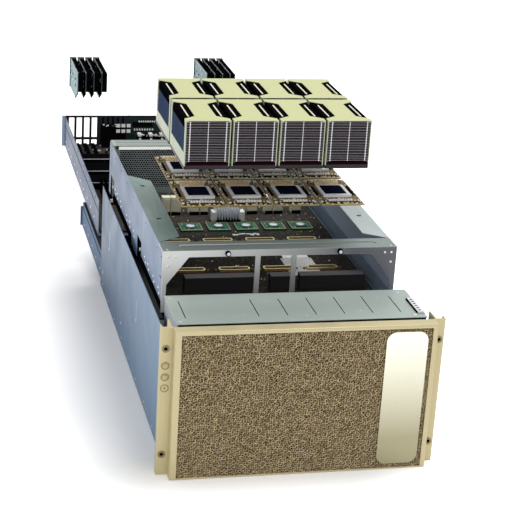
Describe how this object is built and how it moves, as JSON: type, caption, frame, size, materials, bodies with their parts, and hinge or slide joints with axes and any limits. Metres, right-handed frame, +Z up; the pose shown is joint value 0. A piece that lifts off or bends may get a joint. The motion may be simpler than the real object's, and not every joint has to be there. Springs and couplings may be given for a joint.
{
  "type": "rack ai server",
  "caption": "Rack server drawn apart: foam-front bezel, chassis, lifted accelerator tray with modules and heatsinks, rear board tray with network cards and a supply drawer.",
  "frame": {"origin": "centre of the chassis's underside", "axes": "+Z up, +Y from the bezel to the rear, along the longest side, +X to the right seen from the front"},
  "size_m": [0.4826, 1.773, 0.5365],
  "materials": {
    "steel_blue": "pale blue-grey powder coat on folded sheet",
    "lid_grey": "pale green-grey zinc sheet",
    "bay_steel": "plain sheet",
    "gold": "satin champagne gold",
    "gold_ring": "satin gold rings",
    "foam_gold": "open metal foam, brown gold",
    "plate_gold": "brushed satin champagne",
    "black_plastic": "black moulding",
    "fan_black": "black fan moulding",
    "drive_grey": "satin drive carrier",
    "key_white": "pale key",
    "led_green": "clear green lens",
    "tray_black": "black coat",
    "bare_steel": "bare zinc-plated steel",
    "board_dark": "dark circuit board",
    "board_green": "green circuit board",
    "board_gold": "olive gold circuit board",
    "connector_gold": "gold rimmed socket",
    "silver_fin": "silver fins",
    "fin_dark": "dark nickel fins",
    "shroud_gold": "pale yellow gold sheet",
    "card_teal": "teal circuit boards",
    "supply_steel": "plain casings"
  },
  "bodies": {
    "chassis": {"chassis_shell": "steel_blue", "fan_bay_frame": "bay_steel", "front_lid": "lid_grey", "fan_wall": "black_plastic", "drive_caddies": "drive_grey", "rack_ear_left": "gold", "rack_ear_right": "gold", "ear_bushes": "gold_ring", "status_led": "led_green"},
    "bezel": {"bezel_frame": "gold", "bezel_foam": "foam_gold", "name_plate": "plate_gold"},
    "fan_1": {"fan_rotor_1": "fan_black"},
    "fan_2": {"fan_rotor_2": "fan_black"},
    "fan_3": {"fan_rotor_3": "fan_black"},
    "fan_4": {"fan_rotor_4": "fan_black"},
    "power_key": {"power_button": "key_white"},
    "id_key": {"id_button": "key_white"},
    "gpu_tray": {"gpu_tray_base": "tray_black", "gpu_tray_side_left": "steel_blue", "gpu_tray_side_right": "steel_blue", "tray_front_frame": "bare_steel", "tray_rear_grille": "lid_grey", "tray_thumbscrews": "bare_steel", "gpu_baseboard": "board_dark", "mezzanine_connectors": "connector_gold", "switch_boards": "board_green", "switch_heatsink": "silver_fin", "air_guides": "black_plastic"},
    "module_1": {"gpu_module_1": "board_gold"},
    "module_2": {"gpu_module_2": "board_gold"},
    "module_3": {"gpu_module_3": "board_gold"},
    "module_4": {"gpu_module_4": "board_gold"},
    "module_5": {"gpu_module_5": "board_gold"},
    "module_6": {"gpu_module_6": "board_gold"},
    "module_7": {"gpu_module_7": "board_gold"},
    "module_8": {"gpu_module_8": "board_gold"},
    "heatsink_1": {"heatsink_fins_1": "fin_dark", "heatsink_shroud_1": "shroud_gold"},
    "heatsink_2": {"heatsink_fins_2": "fin_dark", "heatsink_shroud_2": "shroud_gold"},
    "heatsink_3": {"heatsink_fins_3": "fin_dark", "heatsink_shroud_3": "shroud_gold"},
    "heatsink_4": {"heatsink_fins_4": "fin_dark", "heatsink_shroud_4": "shroud_gold"},
    "heatsink_5": {"heatsink_fins_5": "fin_dark", "heatsink_shroud_5": "shroud_gold"},
    "heatsink_6": {"heatsink_fins_6": "fin_dark", "heatsink_shroud_6": "shroud_gold"},
    "heatsink_7": {"heatsink_fins_7": "fin_dark", "heatsink_shroud_7": "shroud_gold"},
    "heatsink_8": {"heatsink_fins_8": "fin_dark", "heatsink_shroud_8": "shroud_gold"},
    "host_tray": {"motherboard_tray": "steel_blue", "rear_io_panel": "bare_steel", "motherboard": "board_dark"},
    "cards_left": {"network_cards_left": "card_teal"},
    "cards_right": {"network_cards_right": "card_teal"},
    "supply_drawer": {"psu_drawer": "steel_blue", "power_supplies": "supply_steel"}
  },
  "joints": [
    {"name": "bezel_pull", "type": "slide", "parent": "chassis", "child": "bezel", "axis": [0, -1, 0], "range_m": [0, 0.12]},
    {"name": "fan_1_spin", "type": "hinge", "parent": "chassis", "child": "fan_1", "pos_m": [-0.15787, -0.3738, 0.188], "axis": [0, 1, 0], "continuous": true},
    {"name": "fan_2_spin", "type": "hinge", "parent": "chassis", "child": "fan_2", "pos_m": [-0.05262, -0.3738, 0.188], "axis": [0, 1, 0], "continuous": true},
    {"name": "fan_3_spin", "type": "hinge", "parent": "chassis", "child": "fan_3", "pos_m": [0.05262, -0.3738, 0.188], "axis": [0, 1, 0], "continuous": true},
    {"name": "fan_4_spin", "type": "hinge", "parent": "chassis", "child": "fan_4", "pos_m": [0.15787, -0.3738, 0.188], "axis": [0, 1, 0], "continuous": true},
    {"name": "power_key_press", "type": "slide", "parent": "chassis", "child": "power_key", "axis": [0, 1, 0], "range_m": [0, 0.0015], "stiffness_N_per_m": 600},
    {"name": "id_key_press", "type": "slide", "parent": "chassis", "child": "id_key", "axis": [0, 1, 0], "range_m": [0, 0.0015], "stiffness_N_per_m": 600},
    {"name": "gpu_tray_lift", "type": "slide", "parent": "chassis", "child": "gpu_tray", "axis": [0, 0, 1], "range_m": [-0.06, 0]},
    {"name": "module_1_lift", "type": "slide", "parent": "gpu_tray", "child": "module_1", "axis": [0, 0, 1], "range_m": [-0.1493, 0]},
    {"name": "module_2_lift", "type": "slide", "parent": "gpu_tray", "child": "module_2", "axis": [0, 0, 1], "range_m": [-0.1493, 0]},
    {"name": "module_3_lift", "type": "slide", "parent": "gpu_tray", "child": "module_3", "axis": [0, 0, 1], "range_m": [-0.1493, 0]},
    {"name": "module_4_lift", "type": "slide", "parent": "gpu_tray", "child": "module_4", "axis": [0, 0, 1], "range_m": [-0.1493, 0]},
    {"name": "module_5_lift", "type": "slide", "parent": "gpu_tray", "child": "module_5", "axis": [0, 0, 1], "range_m": [-0.1493, 0]},
    {"name": "module_6_lift", "type": "slide", "parent": "gpu_tray", "child": "module_6", "axis": [0, 0, 1], "range_m": [-0.1493, 0]},
    {"name": "module_7_lift", "type": "slide", "parent": "gpu_tray", "child": "module_7", "axis": [0, 0, 1], "range_m": [-0.1493, 0]},
    {"name": "module_8_lift", "type": "slide", "parent": "gpu_tray", "child": "module_8", "axis": [0, 0, 1], "range_m": [-0.1493, 0]},
    {"name": "heatsink_1_lift", "type": "slide", "parent": "module_1", "child": "heatsink_1", "axis": [0, 0, 1], "range_m": [-0.0624, 0]},
    {"name": "heatsink_2_lift", "type": "slide", "parent": "module_2", "child": "heatsink_2", "axis": [0, 0, 1], "range_m": [-0.0624, 0]},
    {"name": "heatsink_3_lift", "type": "slide", "parent": "module_3", "child": "heatsink_3", "axis": [0, 0, 1], "range_m": [-0.0624, 0]},
    {"name": "heatsink_4_lift", "type": "slide", "parent": "module_4", "child": "heatsink_4", "axis": [0, 0, 1], "range_m": [-0.0624, 0]},
    {"name": "heatsink_5_lift", "type": "slide", "parent": "module_5", "child": "heatsink_5", "axis": [0, 0, 1], "range_m": [-0.0624, 0]},
    {"name": "heatsink_6_lift", "type": "slide", "parent": "module_6", "child": "heatsink_6", "axis": [0, 0, 1], "range_m": [-0.0624, 0]},
    {"name": "heatsink_7_lift", "type": "slide", "parent": "module_7", "child": "heatsink_7", "axis": [0, 0, 1], "range_m": [-0.0624, 0]},
    {"name": "heatsink_8_lift", "type": "slide", "parent": "module_8", "child": "heatsink_8", "axis": [0, 0, 1], "range_m": [-0.0624, 0]},
    {"name": "host_tray_slide", "type": "slide", "parent": "chassis", "child": "host_tray", "axis": [0, 1, 0], "range_m": [-0.68, 0]},
    {"name": "cards_left_lift", "type": "slide", "parent": "host_tray", "child": "cards_left", "axis": [0, 0, 1], "range_m": [-0.1515, 0]},
    {"name": "cards_right_lift", "type": "slide", "parent": "host_tray", "child": "cards_right", "axis": [0, 0, 1], "range_m": [-0.1515, 0]},
    {"name": "supply_drawer_slide", "type": "slide", "parent": "chassis", "child": "supply_drawer", "axis": [0, 1, 0], "range_m": [-0.385, 0]}
  ]
}
